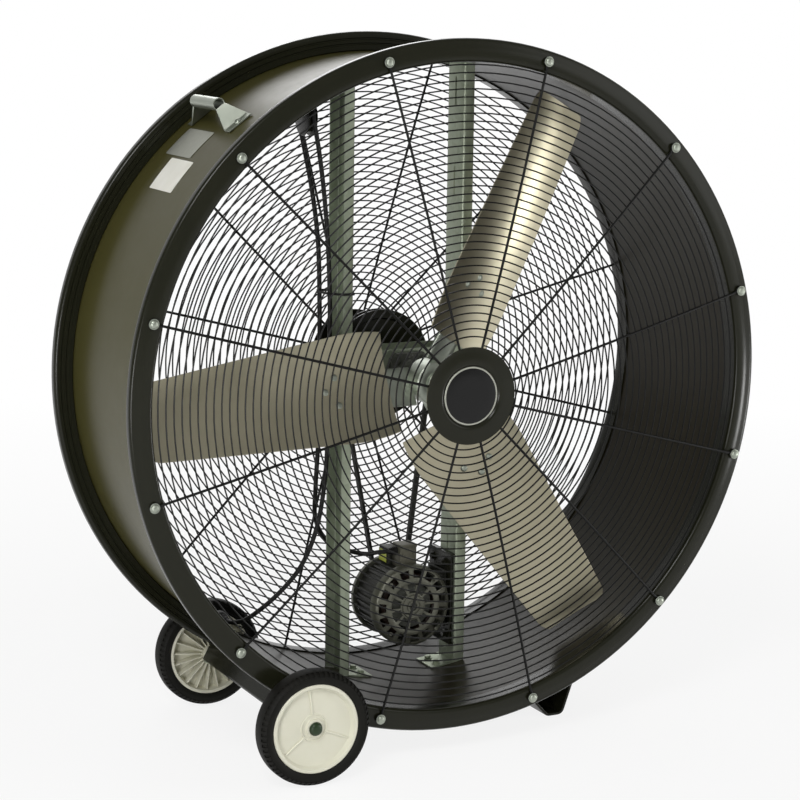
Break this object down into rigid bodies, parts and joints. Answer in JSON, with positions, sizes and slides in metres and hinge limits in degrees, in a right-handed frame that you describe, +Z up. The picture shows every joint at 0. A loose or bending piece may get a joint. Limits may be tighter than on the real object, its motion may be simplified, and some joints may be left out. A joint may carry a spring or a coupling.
{
  "type": "drum fan",
  "caption": "Wheeled belt-drive drum fan: a round steel drum with wire guards, wide blades, a side handle, wheels and a foot.",
  "frame": {"origin": "on the floor, under the middle of the drum", "axes": "-Y is the outlet side with the bare badge, +X is the side of the foot, +Z is up"},
  "size_m": [1.3, 0.566, 1.35],
  "materials": {
    "drum_paint": "gloss powder coat",
    "rim_paint": "gloss powder coat",
    "guard_wire": "satin powder coat",
    "zinc": "zinc plated",
    "bright_zinc": "bright zinc plated",
    "blade_metal": "brushed sheet",
    "cast_metal": "as cast",
    "motor_paint": "satin paint",
    "steel": "turned",
    "belt_rubber": "matte",
    "tyre_rubber": "matte",
    "wheel_plastic": "moulded",
    "cap_paint": "gloss",
    "badge_foil": "gloss",
    "rating_foil": "satin foil",
    "label_paper": "matte film",
    "cord_rubber": "matte"
  },
  "bodies": {
    "frame": {"drum_shell": "drum_paint", "front_rim": "rim_paint", "rear_rim": "rim_paint", "front_guard": "guard_wire", "rear_guard": "guard_wire", "front_hub_plate": "rim_paint", "rear_hub_plate": "rim_paint", "hub_badge": "badge_foil", "guard_bolt_01": "bright_zinc", "guard_bolt_02": "bright_zinc", "guard_bolt_03": "bright_zinc", "guard_bolt_04": "bright_zinc", "guard_bolt_05": "bright_zinc", "guard_bolt_06": "bright_zinc", "guard_bolt_07": "bright_zinc", "guard_bolt_08": "bright_zinc", "guard_bolt_09": "bright_zinc", "guard_bolt_10": "bright_zinc", "guard_bolt_11": "bright_zinc", "guard_bolt_12": "bright_zinc", "left_post": "zinc", "right_post": "zinc", "front_bearing_plate": "zinc", "rear_bearing_plate": "zinc", "front_bearing": "cast_metal", "rear_bearing": "cast_metal", "drive_belt": "belt_rubber", "motor_frame": "motor_paint", "motor_front_bell": "motor_paint", "motor_rear_bell": "motor_paint", "motor_plate": "rim_paint", "terminal_box": "zinc", "capacitor_cover": "motor_paint", "axle": "steel", "front_axle_cap": "cap_paint", "rear_axle_cap": "cap_paint", "front_axle_plate": "zinc", "rear_axle_plate": "zinc", "axle_channel": "rim_paint", "foot": "rim_paint", "handle": "bright_zinc", "rating_plate": "rating_foil", "blank_label": "label_paper", "supply_cord": "cord_rubber", "cord_strain_relief": "cord_rubber", "plug": "cord_rubber", "cord_hook": "rim_paint"},
    "fan_rotor": {"fan_shaft": "steel", "blade_spider": "zinc", "fan_blade_1": "blade_metal", "fan_blade_2": "blade_metal", "fan_blade_3": "blade_metal", "driven_pulley": "rim_paint"},
    "motor_rotor_body": {"motor_rotor": "steel", "drive_pulley": "cast_metal"},
    "front_wheel": {"front_tyre": "tyre_rubber", "front_wheel_rim": "wheel_plastic"},
    "rear_wheel": {"rear_tyre": "tyre_rubber", "rear_wheel_rim": "wheel_plastic"}
  },
  "joints": [
    {"name": "fan_spin", "type": "hinge", "parent": "frame", "child": "fan_rotor", "pos_m": [0, 0, 0.7], "axis": [0, 1, 0], "continuous": true},
    {"name": "motor_spin", "type": "hinge", "parent": "frame", "child": "motor_rotor_body", "pos_m": [0.016, 0, 0.232], "axis": [0, 1, 0], "continuous": true},
    {"name": "front_wheel_spin", "type": "hinge", "parent": "frame", "child": "front_wheel", "pos_m": [-0.31596, -0.26, 0.1085], "axis": [0, 1, 0], "continuous": true},
    {"name": "rear_wheel_spin", "type": "hinge", "parent": "frame", "child": "rear_wheel", "pos_m": [-0.31596, 0.26, 0.1085], "axis": [0, 1, 0], "continuous": true}
  ],
  "couplings": [
    {"joint": "motor_spin", "follows": "fan_spin", "ratio": 3.3548}
  ]
}
